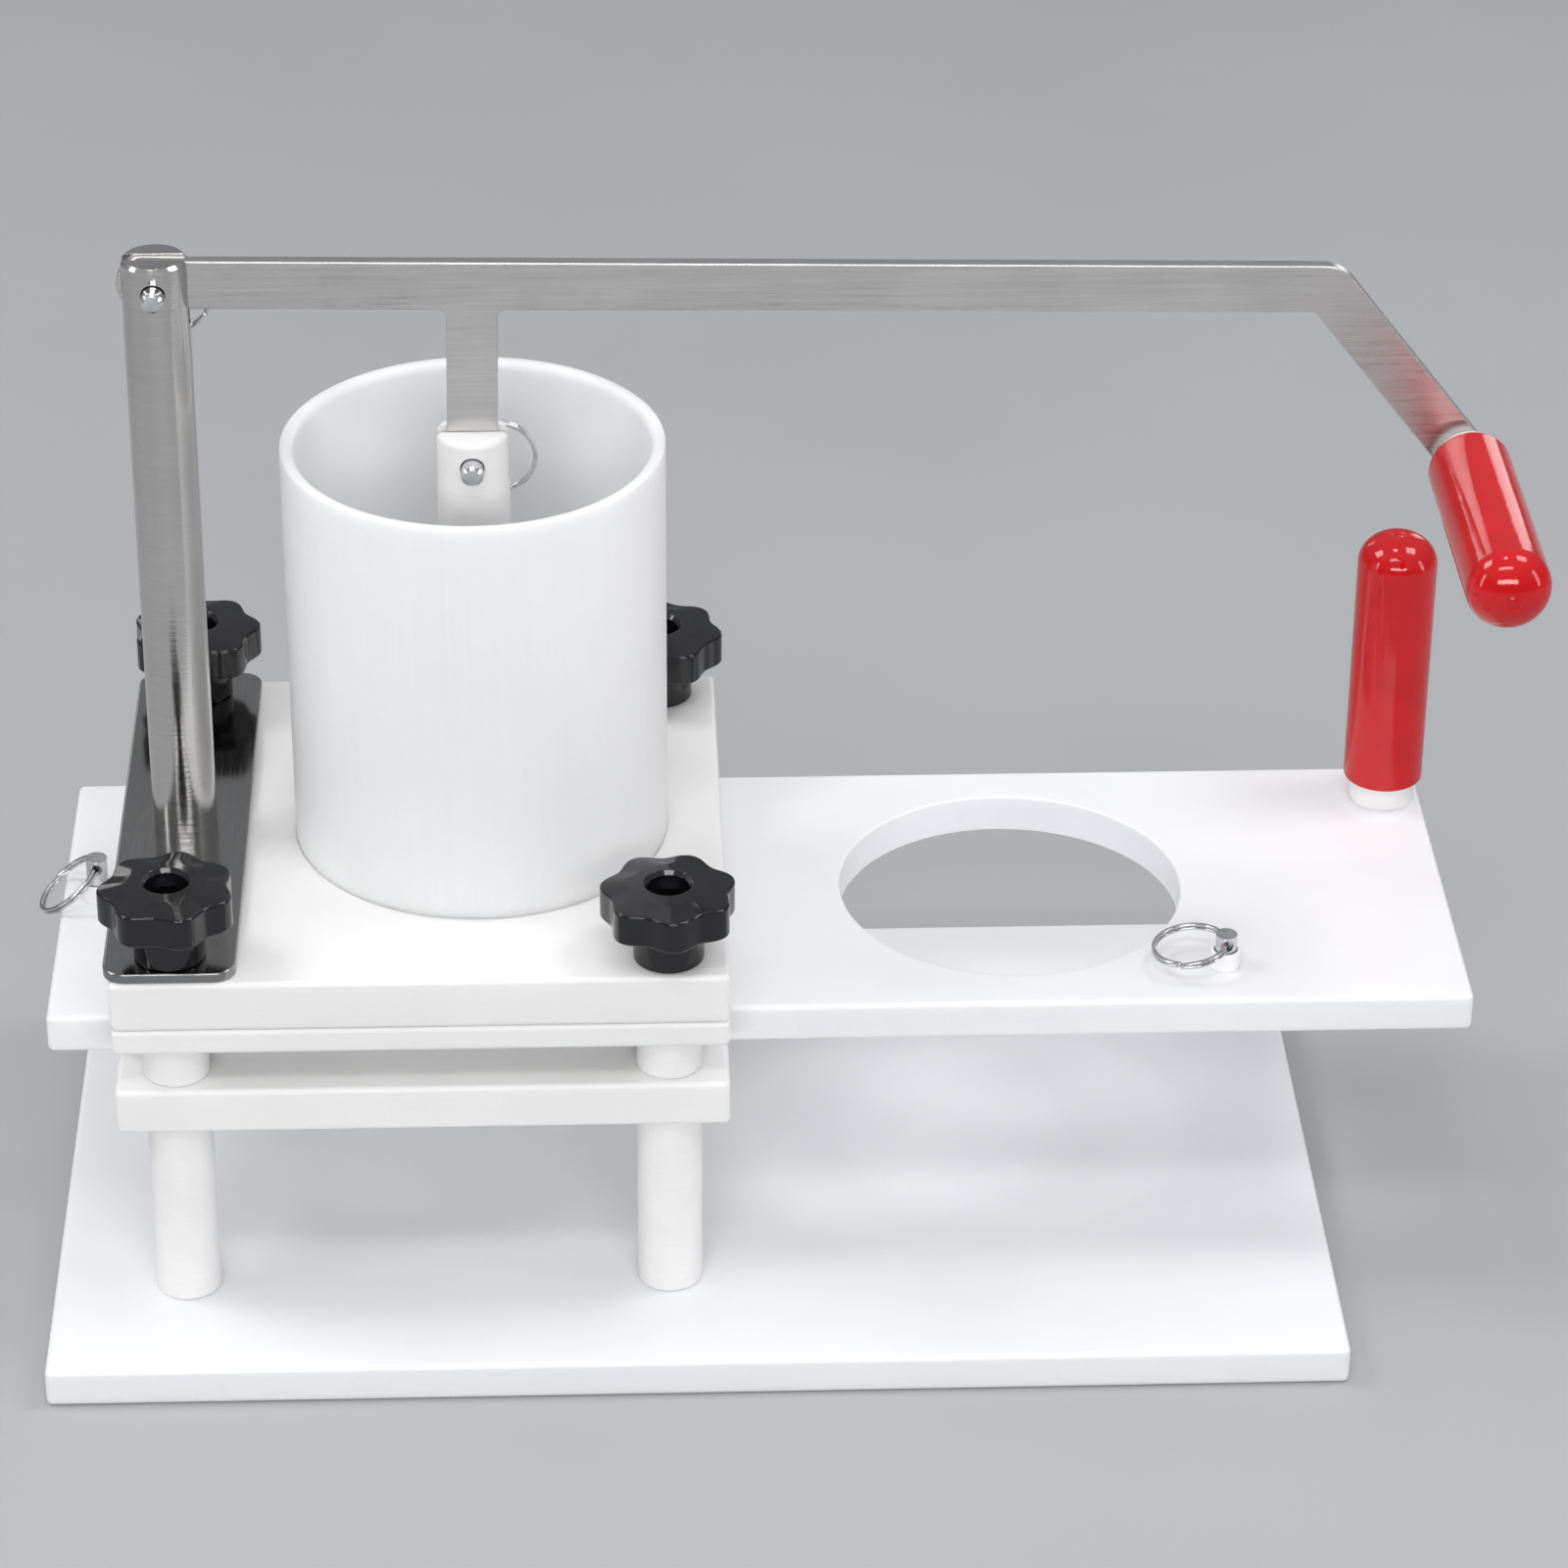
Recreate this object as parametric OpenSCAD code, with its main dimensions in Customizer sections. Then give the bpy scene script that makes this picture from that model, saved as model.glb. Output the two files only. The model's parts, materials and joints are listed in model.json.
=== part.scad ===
// Lever press with a sliding mould plate, for portions of curd, soft cheese or mince.
// The origin is the centre of the base plate's underside. +Z is up, +X runs along the slide
// towards its handle, and -Y faces the operator. All sizes are in millimetres.

/* [Base and columns] */
// Length of the base plate, along X
base_l = 480; // [400:5:580]
// Depth of the base plate, along Y
base_d = 300; // [250:5:360]
// Thickness of the base plate
base_t = 15; // [12:0.5:20]
// Gap from the base plate's left edge to the block of plates
block_margin = 28; // [5:1:60]
// Offset of the press's centre line from the middle of the base plate, along Y
line_y = 3; // [-20:1:20]
// Diameter of the columns and of the spacers above them
column_d = 24; // [20:1:29]
// Height of the columns
column_h = 77; // [50:1:120]

/* [Block of plates] */
// Length of the three stacked plates, along X
block_l = 224; // [210:1:270]
// Depth of the three stacked plates, along Y
block_d = 224; // [190:1:270]
// Thickness of the support plate, which the slide runs on
support_t = 18; // [12:1:24]
// Thickness of the guide plate, which holds the slide down
guide_t = 10; // [8:1:14]
// Thickness of the hopper plate, which carries the barrel and the post
hopper_t = 20; // [15:1:26]
// Distance from a stud to the plates' left or right edge
stud_inset_x = 22; // [16:1:27]
// Distance from a stud to the plates' front or rear edge
stud_inset_y = 15; // [13:1:18]

/* [Slide] */
// Length of the slide
slide_l = 526; // [430:2:640]
// Thickness of the slide, which is the height of a moulded portion
slide_t = 15; // [12:0.5:20]
// How far the slide reaches past the block's left face with the mould outside
slide_tail = 26; // [20:1:40]
// Distance from the slide's handle end to the mould's centre
mould_inset = 166; // [130:1:200]
// Play of the slide against the spacers, on each side
slide_side_gap = 0.5; // [0.2:0.1:1]
// Play between the slide and the support plate
slide_low_gap = 0.2; // [0.1:0.1:0.4]
// Play between the slide and the guide plate
slide_top_gap = 0.8; // [0.2:0.1:1.5]

/* [Barrel and plunger] */
// Outer diameter of the barrel
barrel_od = 140; // [116:1:168]
// Wall of the barrel, whose inside diameter is also the mould's
barrel_wall = 5; // [4:0.5:7]
// Height of the barrel above the hopper plate
barrel_h = 161; // [130:1:185]
// Rounding of the barrel's inner lip
barrel_lip = 3; // [1:0.5:3.5]
// Diameter of the plunger rod
rod_d = 26.6; // [20:0.2:34]
// Radial gap between the piston and the barrel, for the rod's swing
piston_gap = 3.8; // [3.4:0.1:6]
// Thickness of the piston
piston_t = 12; // [9:1:18]

/* [Post and lever] */
// Diameter of the post
post_d = 24; // [20:0.5:30]
// Height of the lever's pivot above the hopper plate
pivot_h = 225; // [185:1:275]
// Distance from the post's axis to the barrel's axis
reach = 111.5; // [105:0.5:120]
// Height of the lever's pivot above the plunger's pin
pin_drop = 69.3; // [58:0.1:84]
// Slope of the lever's bar below level, with the piston down on the slide
lever_droop = 0.9; // [0:0.1:3]
// Width of the lever's flat bar
lever_w = 18.5; // [15:0.5:22.5]
// Thickness of the lever's flat bar
lever_t = 5; // [4:0.5:8]
// Length of the lever's bar, from the pivot to the elbow
lever_run = 420; // [340:1:510]
// Turn of the lever at its elbow
lever_bend = 51; // [30:1:70]
// Distance from the elbow to the grip's axis
lever_tip = 89; // [60:1:110]
// Thickness of the post's foot plate
foot_t = 4; // [3:0.5:6]
// Width of the post's foot plate
foot_w = 48; // [36:1:54]

/* [Grips and knobs] */
// Outer diameter of the grip sleeves
grip_d = 30.6; // [26:0.2:37]
// Length of the grip sleeves, with their domed ends
grip_l = 106; // [80:1:130]
// Wall of the grip sleeves
grip_wall = 2.8; // [2:0.2:4]
// Diameter of the star knobs over their lobes
knob_d = 50; // [40:1:60]
// Height of the star knobs
knob_h = 31; // [26:1:38]

/* [Ring pins] */
// Diameter of the four ring pins
pin_d = 8; // [6.5:0.1:9.6]
// Radial play of the pins in their holes
pin_play = 0.4; // [0.37:0.01:0.6]
// Mean diameter of the split rings
ring_d = 27; // [23:0.5:33]

/* [Hidden] */
$fn = 96;

CORNERS = ["front_left", "front_right", "rear_left", "rear_right"];

// Colours of the finishes
WHITE = [0.93, 0.94, 0.96];
FROSTED = [0.88, 0.89, 0.91];
STEEL = [0.62, 0.61, 0.60];
BRIGHT = [0.80, 0.80, 0.82];
BLACK = [0.05, 0.05, 0.06];
RED = [0.82, 0.06, 0.06];
BRASS = [0.72, 0.58, 0.30];

// Small clearances: eps carries a cut past a face, fit parts two pieces that seat together,
// piston_rest is the film left between the piston and the slide
eps = 1;
fit = 0.05;
piston_rest = 0.3;

// Heights, from the bench upwards
support_z = base_t + column_h;
spacer_z = support_z + support_t;
slide_z = spacer_z + slide_low_gap;
slide_top = slide_z + slide_t;
spacer_h = slide_low_gap + slide_t + slide_top_gap;
guide_z = spacer_z + spacer_h;
hopper_z = guide_z + guide_t;
deck_z = hopper_z + hopper_t;
pivot_z = deck_z + pivot_h;
plunger_pin_z = pivot_z - pin_drop;
piston_z = slide_top + piston_rest;

// Places in plan
block_x = -base_l / 2 + block_margin + block_l / 2;
stud_x = block_l / 2 - stud_inset_x;
stud_y = block_d / 2 - stud_inset_y;
post_x = block_x - stud_x;
barrel_x = post_x + reach;
slide_x = block_x - block_l / 2 - slide_tail;
slide_end = slide_x + slide_l;
slide_w = 2 * (stud_y - column_d / 2 - slide_side_gap);
mould_x = slide_end - mould_inset;

// Barrel, mould and piston
bore_d = barrel_od - 2 * barrel_wall;
piston_d = bore_d - 2 * piston_gap;

// Long M8 bolts, which run from the base up into the knobs
bolt_d = 8;
bolt_hole = bolt_d + 0.6;
bolt_head_d = 13;
bolt_head_h = 8;
bolt_head_room = 1;
bolt_in_knob = 22;

// Ring pins and what holds them
pin_hole = pin_d + 2 * pin_play;
pin_tip = 6.5;
pin_tip_chamfer = 1.2;
ball_d = 3.2;
ball_z = pin_tip - 1.7;
ball_proud = pin_play - 0.05;
// Angle round the pin from its ring to its ball
ball_turn = 80;
eye_d = 4.6;
eye_gap = 4;
eye_end = 3.4;
ring_wire = 1.8;
ring_thick = 2.3;
bush_wall = 1.1;
bush_d = pin_hole + 2 * bush_wall;
bush_h = 7;
stop_eye_z = slide_top + bush_h + 3;
stop_pin_len = 26.6;
left_stop_inset = 13.5;
left_stop_raise = 4;
right_stop_x = 76;
right_stop_y = -60;
// Where each ring points from its pin: degrees above +X for the two level pins, and
// degrees below -X for the two upright ones
pivot_ring_turn = -70;
plunger_ring_turn = -48;
left_ring_droop = 38;
right_ring_droop = 7;

// Lever: the plunger's pin in the bar's own directions, along it and across it
branch_x = reach * cos(lever_droop) + pin_drop * sin(lever_droop);
branch_z = reach * sin(lever_droop) - pin_drop * cos(lever_droop);
slot_play = 0.6;
lever_slot = lever_t + slot_play;
lever_tail = post_d / 2 + 1.7;
elbow_r = 15;
branch_fillet = 3;
slot_below_pivot = lever_tail + 1.8;
slot_below_pin = lever_w / 2 + 1.8;
post_above_pivot = lever_w / 2 + 0.75;
spigot_d = post_d * 2 / 3;
rod_above_pin = 10;
rod_rim = 2.5;

// Grips and screws
core_d = grip_d - 2 * grip_wall;
grip_bare = 10;
lever_grip_bare = 2;
grip_dome = 12;
handle_inset_x = 15;
handle_inset_y = 22;
screw_d = 8;
screw_grip = 32;
screw_head_d = 15;
screw_head_h = 4.2;
screw_room = 0.6;
screw_sink = 0.3;
button_head_h = 4;
button_head_taper = 5;

// Star knobs
knob_lobes = 7;
knob_lobe_depth = 3.2;
knob_lobe_z = 16;
knob_dome = 3;
knob_hub_d = 26;
knob_hole_d = 15;
insert_d = 14;
insert_h = 18;

// Corner number: 0 front left, 1 front right, 2 rear left, 3 rear right
function corner_x(i) = block_x + (i % 2 == 0 ? -stud_x : stud_x);
function corner_y(i) = line_y + (i < 2 ? -stud_y : stud_y);
// The left-hand knobs stand on the post's foot plate
function knob_seat(i) = deck_z + (i % 2 == 0 ? foot_t : 0);

// Points of an arc about c, from angle a0 to a1
function arc(c, r, a0, a1, n) =
    [for (k = [0:n]) let (a = a0 + (a1 - a0) * k / n) c + r * [cos(a), sin(a)]];

module at_corner(i, z) {
    translate([corner_x(i), corner_y(i), z]) children();
}

// Clearance holes for the four bolts
module bolt_holes(z, t) {
    for (i = [0:3])
        at_corner(i, z - eps) cylinder(d = bolt_hole, h = t + 2 * eps);
}

// One of the stacked plates, with its bolt holes
module block_plate(z, t) {
    difference() {
        translate([block_x - block_l / 2, line_y - block_d / 2, z]) cube([block_l, block_d, t]);
        bolt_holes(z, t);
    }
}

// Countersunk screw with its flat face at z = 0, pointing up
module countersunk_screw() {
    cylinder(d1 = screw_head_d, d2 = screw_d, h = screw_head_h);
    cylinder(d = screw_d, h = screw_grip);
}

// The room that a countersunk screw needs in what it clamps
module countersink(t) {
    head_room = screw_head_d + screw_room;
    shank_room = screw_d + screw_room;
    translate([0, 0, -eps]) cylinder(d = head_room, h = eps + screw_sink);
    translate([0, 0, screw_sink]) cylinder(d1 = head_room, d2 = shank_room, h = screw_head_h);
    cylinder(d = shank_room, h = t + eps);
}

// Half section of a round bar whose top edge is rounded by dome
module domed_profile(r, len, dome) {
    square([r, len - dome]);
    square([r - dome, len]);
    translate([r - dome, len - dome]) intersection() {
        circle(r = dome);
        square(dome);
    }
}

// Core of a grip, standing on z = 0 with a bare foot below its sleeve, and its screw's hole
module grip_core(bare) {
    difference() {
        rotate_extrude() domed_profile(core_d / 2, bare + grip_l - grip_wall, grip_dome - grip_wall);
        translate([0, 0, -eps]) cylinder(d = screw_d + 2 * fit, h = screw_grip);
    }
}

// Soft sleeve of a grip, over the core
module grip_sleeve(bare) {
    rotate_extrude() difference() {
        translate([0, bare]) domed_profile(grip_d / 2, grip_l, grip_dome);
        domed_profile(core_d / 2 + fit, bare + grip_l - grip_wall + fit, grip_dome - grip_wall);
    }
}

// Ring pin along +Z with its tip at z = 0, and the eye for its ring near the other end
module ring_pin(len) {
    difference() {
        union() {
            cylinder(d1 = pin_d - 2 * pin_tip_chamfer, d2 = pin_d, h = pin_tip_chamfer);
            translate([0, 0, pin_tip_chamfer]) cylinder(d = pin_d, h = len - pin_tip_chamfer);
        }
        translate([0, 0, len - eye_end]) rotate([90, 0, 0])
            cylinder(d = eye_d, h = pin_d + 2 * eps, center = true);
        pin_ball(ball_d + 2 * fit);
    }
}

// Detent ball of a ring pin, or its pocket, in the side of the pin's tip
module pin_ball(d) {
    rotate(-ball_turn) translate([pin_d / 2 + ball_proud - ball_d / 2, 0, ball_z])
        rotate([0, 90, 0]) sphere(d = d);
}

// Split ring through an eye along Y at the origin, lying level towards -X
module split_ring() {
    translate([-ring_d / 2, 0, 0]) rotate_extrude()
        translate([(ring_d - ring_wire) / 2, -ring_thick / 2]) square([ring_wire, ring_thick]);
}

// Length of a level pin through a round bar of diameter d
function level_pin_len(d) = pin_tip + d + eye_gap + eye_end;

// Puts a pin with its tip towards the operator through a bar of diameter d, and turns its
// eye to the ring's direction
module level_pin_place(x, z, d, turn) {
    translate([x, line_y - d / 2 - pin_tip, z]) rotate([-90, 0, 0]) rotate(-turn) children();
}

// Puts a ring in the eye of a level pin, hanging at the angle turn from +X
module level_ring_place(x, z, d, turn) {
    translate([x, line_y + d / 2 + eye_gap, z]) rotate([0, 180 - turn, 0]) rotate([90, 0, 0]) children();
}

// Place of an upright stop pin's tip and of its ring's eye
function left_stop() = [slide_x + left_stop_inset, line_y, stop_eye_z + left_stop_raise];
function right_stop() = [mould_x + right_stop_x, line_y + right_stop_y, stop_eye_z];

module stop_pin_place(eye) {
    translate([eye[0], eye[1], eye[2] + eye_end - stop_pin_len]) children();
}

module base_plate() {
    color(WHITE) difference() {
        translate([-base_l / 2, -base_d / 2, 0]) cube([base_l, base_d, base_t]);
        bolt_holes(0, base_t);
        for (i = [0:3])
            at_corner(i, -eps) cylinder(d = bolt_head_d + 1, h = eps + bolt_head_h + bolt_head_room);
    }
}

module column(i) {
    color(WHITE) at_corner(i, base_t) difference() {
        cylinder(d = column_d, h = column_h);
        translate([0, 0, -eps]) cylinder(d = bolt_hole, h = column_h + 2 * eps);
    }
}

module support_plate() {
    color(WHITE) block_plate(support_z, support_t);
}

module spacer(i) {
    color(WHITE) at_corner(i, spacer_z) difference() {
        cylinder(d = column_d, h = spacer_h);
        translate([0, 0, -eps]) cylinder(d = bolt_hole, h = spacer_h + 2 * eps);
    }
}

module stud(i) {
    color(BRIGHT) at_corner(i, bolt_head_room) {
        cylinder(d = bolt_head_d, h = bolt_head_h);
        cylinder(d = bolt_d, h = knob_seat(i) + bolt_in_knob - bolt_head_room);
    }
}

module guide_plate() {
    color(WHITE) difference() {
        block_plate(guide_z, guide_t);
        translate([barrel_x, line_y, guide_z - eps]) cylinder(d = bore_d, h = guide_t + 2 * eps);
    }
}

module hopper_plate() {
    color(WHITE) difference() {
        block_plate(hopper_z, hopper_t);
        translate([barrel_x, line_y, hopper_z - eps])
            cylinder(d = barrel_od + 2 * fit, h = hopper_t + 2 * eps);
    }
}

// Tube seated in the hopper plate, with its inner lip eased
module barrel() {
    tube_h = hopper_t + barrel_h;
    color(FROSTED) translate([barrel_x, line_y, hopper_z]) difference() {
        cylinder(d = barrel_od, h = tube_h);
        translate([0, 0, -eps]) cylinder(d = bore_d, h = tube_h + 2 * eps);
        translate([0, 0, tube_h - 2 * barrel_lip])
            cylinder(d1 = bore_d, d2 = bore_d + 2 * barrel_lip, h = 2 * barrel_lip + 0.01);
    }
}

// Steel strip under the post and the two left-hand knobs, with rounded corners
module post_foot() {
    corner = 8;
    half_d = block_d / 2 - 1;
    color(STEEL) translate([post_x, line_y, deck_z]) difference() {
        linear_extrude(foot_t) union() {
            square([foot_w - 2 * corner, 2 * half_d], center = true);
            square([foot_w, 2 * (half_d - corner)], center = true);
            for (sx = [-1, 1], sy = [-1, 1])
                translate([sx * (foot_w / 2 - corner), sy * (half_d - corner)]) circle(r = corner);
        }
        for (sy = [-1, 1])
            translate([0, sy * stud_y, -eps]) cylinder(d = bolt_hole, h = foot_t + 2 * eps);
        translate([0, 0, -eps]) cylinder(d = spigot_d + 2 * fit, h = foot_t + 2 * eps);
    }
}

// Post with a spigot in its foot, a chamfered top, the lever's slot and the pivot's hole
module post() {
    chamfer = 1.2;
    foot_top = deck_z + foot_t;
    top = pivot_z + post_above_pivot;
    color(STEEL) translate([post_x, line_y, 0]) difference() {
        union() {
            translate([0, 0, deck_z]) cylinder(d = spigot_d, h = foot_t);
            translate([0, 0, foot_top]) cylinder(d = post_d, h = top - chamfer - foot_top);
            translate([0, 0, top - chamfer]) cylinder(d1 = post_d, d2 = post_d - 2 * chamfer, h = chamfer);
        }
        translate([-post_d, -lever_slot / 2, pivot_z - slot_below_pivot])
            cube([2 * post_d, lever_slot, slot_below_pivot + post_above_pivot + eps]);
        translate([0, 0, pivot_z]) rotate([90, 0, 0]) cylinder(d = pin_hole, h = 2 * post_d, center = true);
    }
}

// Lever's outline: x along the bar from the pivot, y across it
module lever_outline() {
    w = lever_w / 2;
    down = [cos(lever_bend), -sin(lever_bend)];
    side = [sin(lever_bend), cos(lever_bend)];
    elbow = [lever_run, 0];
    grip = elbow + lever_tip * down;
    inner = elbow - w * tan(lever_bend / 2) * [1, 0] - [0, w];
    outer = elbow + w * tan(lever_bend / 2) * [1, 0] + [0, w];
    // The outer bend is tangent to both outer edges
    bend_c = outer - elbow_r * tan(lever_bend / 2) * [1, 0] - [0, elbow_r];
    branch_l = branch_x - w;
    branch_r = branch_x + w;
    f = branch_fillet;
    polygon(concat(
        arc([-(lever_tail - w), 0], w, 270, 90, 24),
        arc(bend_c, elbow_r, 90, 90 - lever_bend, 12),
        arc(grip, w, 90 - lever_bend, -90 - lever_bend, 24),
        [inner],
        arc([branch_r + f, -w - f], f, 90, 180, 6),
        arc([branch_x, branch_z], w, 0, -180, 24),
        arc([branch_l - f, -w - f], f, 0, 90, 6)
    ));
}

// Flat lever with its branch down to the plunger, and holes for pivot, plunger and grip
module lever() {
    grip = [lever_run + lever_tip * cos(lever_bend), -lever_tip * sin(lever_bend)];
    color(STEEL) translate([post_x, line_y, pivot_z]) rotate([90, lever_droop, 0]) difference() {
        linear_extrude(lever_t, center = true) lever_outline();
        for (hole = [[[0, 0], pin_hole], [[branch_x, branch_z], pin_hole], [grip, screw_d + 2 * fit]])
            translate([hole[0][0], hole[0][1], 0])
                cylinder(d = hole[1], h = lever_t + 2 * eps, center = true);
    }
}

// The lever's grip stands on the bar's front face and points at the operator
module lever_grip_place() {
    translate([post_x, line_y - lever_t / 2, pivot_z]) rotate([0, lever_droop, 0])
        translate([lever_run + lever_tip * cos(lever_bend), 0, -lever_tip * sin(lever_bend)])
            rotate([90, 0, 0]) children();
}

module lever_grip_core() {
    color(WHITE) lever_grip_place() grip_core(lever_grip_bare);
}

module lever_grip_sleeve() {
    color(RED) lever_grip_place() grip_sleeve(lever_grip_bare);
}

// Button-head screw from behind the lever into its grip
module lever_grip_screw() {
    color(BRIGHT) lever_grip_place() translate([0, 0, -lever_t]) {
        translate([0, 0, -button_head_h])
            cylinder(d1 = screw_head_d - button_head_taper, d2 = screw_head_d, h = button_head_h);
        cylinder(d = screw_d, h = lever_t + screw_grip - 2 * eps);
    }
}

// Rod with a slotted head for the lever's branch, and a blind hole for the piston's screw
module plunger_rod() {
    foot_z = piston_z + piston_t;
    top = plunger_pin_z + rod_above_pin;
    color(WHITE) translate([barrel_x, line_y, 0]) difference() {
        translate([0, 0, foot_z]) rotate_extrude() domed_profile(rod_d / 2, top - foot_z, rod_rim);
        translate([-rod_d, -lever_slot / 2, plunger_pin_z - slot_below_pin])
            cube([2 * rod_d, lever_slot, slot_below_pin + rod_above_pin + eps]);
        translate([0, 0, plunger_pin_z]) rotate([90, 0, 0])
            cylinder(d = pin_hole, h = 2 * rod_d, center = true);
        translate([0, 0, foot_z - eps]) cylinder(d = screw_d + 2 * fit, h = screw_grip - piston_t + 2 * eps);
    }
}

// Disc with eased edges that pushes the filling down
module piston() {
    ease = 1.5;
    color(WHITE) translate([barrel_x, line_y, piston_z]) difference() {
        union() {
            cylinder(d1 = piston_d - 2 * ease, d2 = piston_d, h = ease);
            translate([0, 0, ease]) cylinder(d = piston_d, h = piston_t - 2 * ease);
            translate([0, 0, piston_t - ease]) cylinder(d1 = piston_d, d2 = piston_d - 2 * ease, h = ease);
        }
        countersink(piston_t);
    }
}

module piston_screw() {
    color(BRIGHT) translate([barrel_x, line_y, piston_z + screw_sink]) countersunk_screw();
}

// Slide with the mould, the holes of its two stop bushes and its handle's screw
module slide_plate() {
    color(WHITE) difference() {
        translate([slide_x, line_y - slide_w / 2, slide_z]) cube([slide_l, slide_w, slide_t]);
        translate([mould_x, line_y, slide_z - eps]) cylinder(d = bore_d, h = slide_t + 2 * eps);
        for (stop = [left_stop(), right_stop()])
            translate([stop[0], stop[1], slide_z - eps])
                cylinder(d = bush_d + 2 * fit, h = slide_t + 2 * eps);
        slide_handle_place() translate([0, 0, -slide_t]) countersink(slide_t);
    }
}

module slide_handle_place() {
    translate([slide_end - handle_inset_x, line_y + slide_w / 2 - handle_inset_y, slide_top]) children();
}

module slide_handle_core() {
    color(WHITE) slide_handle_place() grip_core(grip_bare);
}

module slide_handle_sleeve() {
    color(RED) slide_handle_place() grip_sleeve(grip_bare);
}

module slide_handle_screw() {
    color(BRIGHT) slide_handle_place() translate([0, 0, screw_sink - slide_t]) countersunk_screw();
}

// White bush that stands in the slide and holds a stop pin
module stop_bush(stop) {
    color(WHITE) translate([stop[0], stop[1], slide_z]) difference() {
        cylinder(d = bush_d, h = slide_t + bush_h);
        translate([0, 0, -eps]) cylinder(d = pin_hole, h = slide_t + bush_h + 2 * eps);
    }
}

// Outline of a star knob: a circle with lobes that follow a cosine
module knob_outline() {
    mean = (knob_d - knob_lobe_depth) / 2;
    polygon([for (a = [0:5:355]) (mean + knob_lobe_depth / 2 * cos(knob_lobes * a)) * [cos(a), sin(a)]]);
}

// Star knob: a lobed head with a domed top on a round hub, and a deep hole down to its insert
module knob(i) {
    rim_z = knob_h - knob_dome;
    color(BLACK) at_corner(i, knob_seat(i)) difference() {
        union() {
            cylinder(d = knob_hub_d, h = knob_lobe_z + eps);
            translate([0, 0, knob_lobe_z])
                linear_extrude(rim_z - knob_lobe_z) rotate(30 + 90 * i) knob_outline();
            translate([0, 0, rim_z])
                cylinder(d1 = knob_d - 2.5 * knob_lobe_depth, d2 = knob_hole_d + 3, h = knob_dome);
        }
        translate([0, 0, -eps]) cylinder(d = insert_d + 2 * fit, h = insert_h + eps);
        translate([0, 0, insert_h - eps]) cylinder(d = knob_hole_d, h = knob_h);
    }
}

module knob_insert(i) {
    color(BRASS) at_corner(i, knob_seat(i)) difference() {
        cylinder(d = insert_d, h = insert_h);
        translate([0, 0, -eps]) cylinder(d = bolt_d + 2 * fit, h = insert_h + 2 * eps);
    }
}

module pivot_pin() {
    color(BRIGHT) level_pin_place(post_x, pivot_z, post_d, pivot_ring_turn)
        ring_pin(level_pin_len(post_d));
}

module pivot_pin_ball() {
    color(BRIGHT) level_pin_place(post_x, pivot_z, post_d, pivot_ring_turn) pin_ball(ball_d);
}

module plunger_pin() {
    color(BRIGHT) level_pin_place(barrel_x, plunger_pin_z, rod_d, plunger_ring_turn)
        ring_pin(level_pin_len(rod_d));
}

module plunger_pin_ball() {
    color(BRIGHT) level_pin_place(barrel_x, plunger_pin_z, rod_d, plunger_ring_turn) pin_ball(ball_d);
}

module stop_pin(eye) {
    color(BRIGHT) stop_pin_place(eye) ring_pin(stop_pin_len);
}

module stop_pin_ball(eye) {
    color(BRIGHT) stop_pin_place(eye) pin_ball(ball_d);
}

module pivot_ring() {
    color(BRIGHT) level_ring_place(post_x, pivot_z, post_d, pivot_ring_turn) split_ring();
}

module plunger_ring() {
    color(BRIGHT) level_ring_place(barrel_x, plunger_pin_z, rod_d, plunger_ring_turn) split_ring();
}

module stop_ring(eye, droop) {
    color(BRIGHT) translate(eye) rotate([0, -droop, 0]) split_ring();
}

base_plate();
support_plate();
guide_plate();
hopper_plate();
barrel();
post_foot();
post();
column(0);  // column_front_left
column(1);  // column_front_right
column(2);  // column_rear_left
column(3);  // column_rear_right
spacer(0);  // spacer_front_left
spacer(1);  // spacer_front_right
spacer(2);  // spacer_rear_left
spacer(3);  // spacer_rear_right
stud(0);  // stud_front_left
stud(1);  // stud_front_right
stud(2);  // stud_rear_left
stud(3);  // stud_rear_right
knob(0);  // knob_front_left
knob(1);  // knob_front_right
knob(2);  // knob_rear_left
knob(3);  // knob_rear_right
knob_insert(0);  // knob_insert_front_left
knob_insert(1);  // knob_insert_front_right
knob_insert(2);  // knob_insert_rear_left
knob_insert(3);  // knob_insert_rear_right
lever();
lever_grip_core();
lever_grip_sleeve();
lever_grip_screw();
plunger_rod();
piston();
piston_screw();
slide_plate();
slide_handle_core();
slide_handle_sleeve();
slide_handle_screw();
stop_bush(left_stop());  // stop_bush_left
stop_bush(right_stop());  // stop_bush_right
pivot_pin();
plunger_pin();
stop_pin(left_stop());  // stop_pin_left
stop_pin(right_stop());  // stop_pin_right
pivot_pin_ball();
plunger_pin_ball();
stop_pin_ball(left_stop());  // stop_pin_ball_left
stop_pin_ball(right_stop());  // stop_pin_ball_right
pivot_ring();
plunger_ring();
stop_ring(left_stop(), left_ring_droop);  // stop_ring_left
stop_ring(right_stop(), right_ring_droop);  // stop_ring_right
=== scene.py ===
import json
import math

import bmesh
import bpy
import numpy as np
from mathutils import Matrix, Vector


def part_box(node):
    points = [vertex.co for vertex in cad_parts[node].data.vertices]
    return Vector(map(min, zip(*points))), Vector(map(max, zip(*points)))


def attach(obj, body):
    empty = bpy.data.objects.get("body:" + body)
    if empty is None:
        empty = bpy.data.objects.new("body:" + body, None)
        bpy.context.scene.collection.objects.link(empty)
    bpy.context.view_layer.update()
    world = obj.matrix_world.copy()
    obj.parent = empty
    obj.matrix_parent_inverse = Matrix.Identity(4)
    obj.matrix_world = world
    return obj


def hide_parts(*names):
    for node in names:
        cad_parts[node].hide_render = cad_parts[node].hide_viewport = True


# Looks of a lever portion press: white boards and a frosted barrel on a column stand, a steel
# post and lever, red grips and black star knobs. Lengths are in metres, in the CAD's frame.

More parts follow.
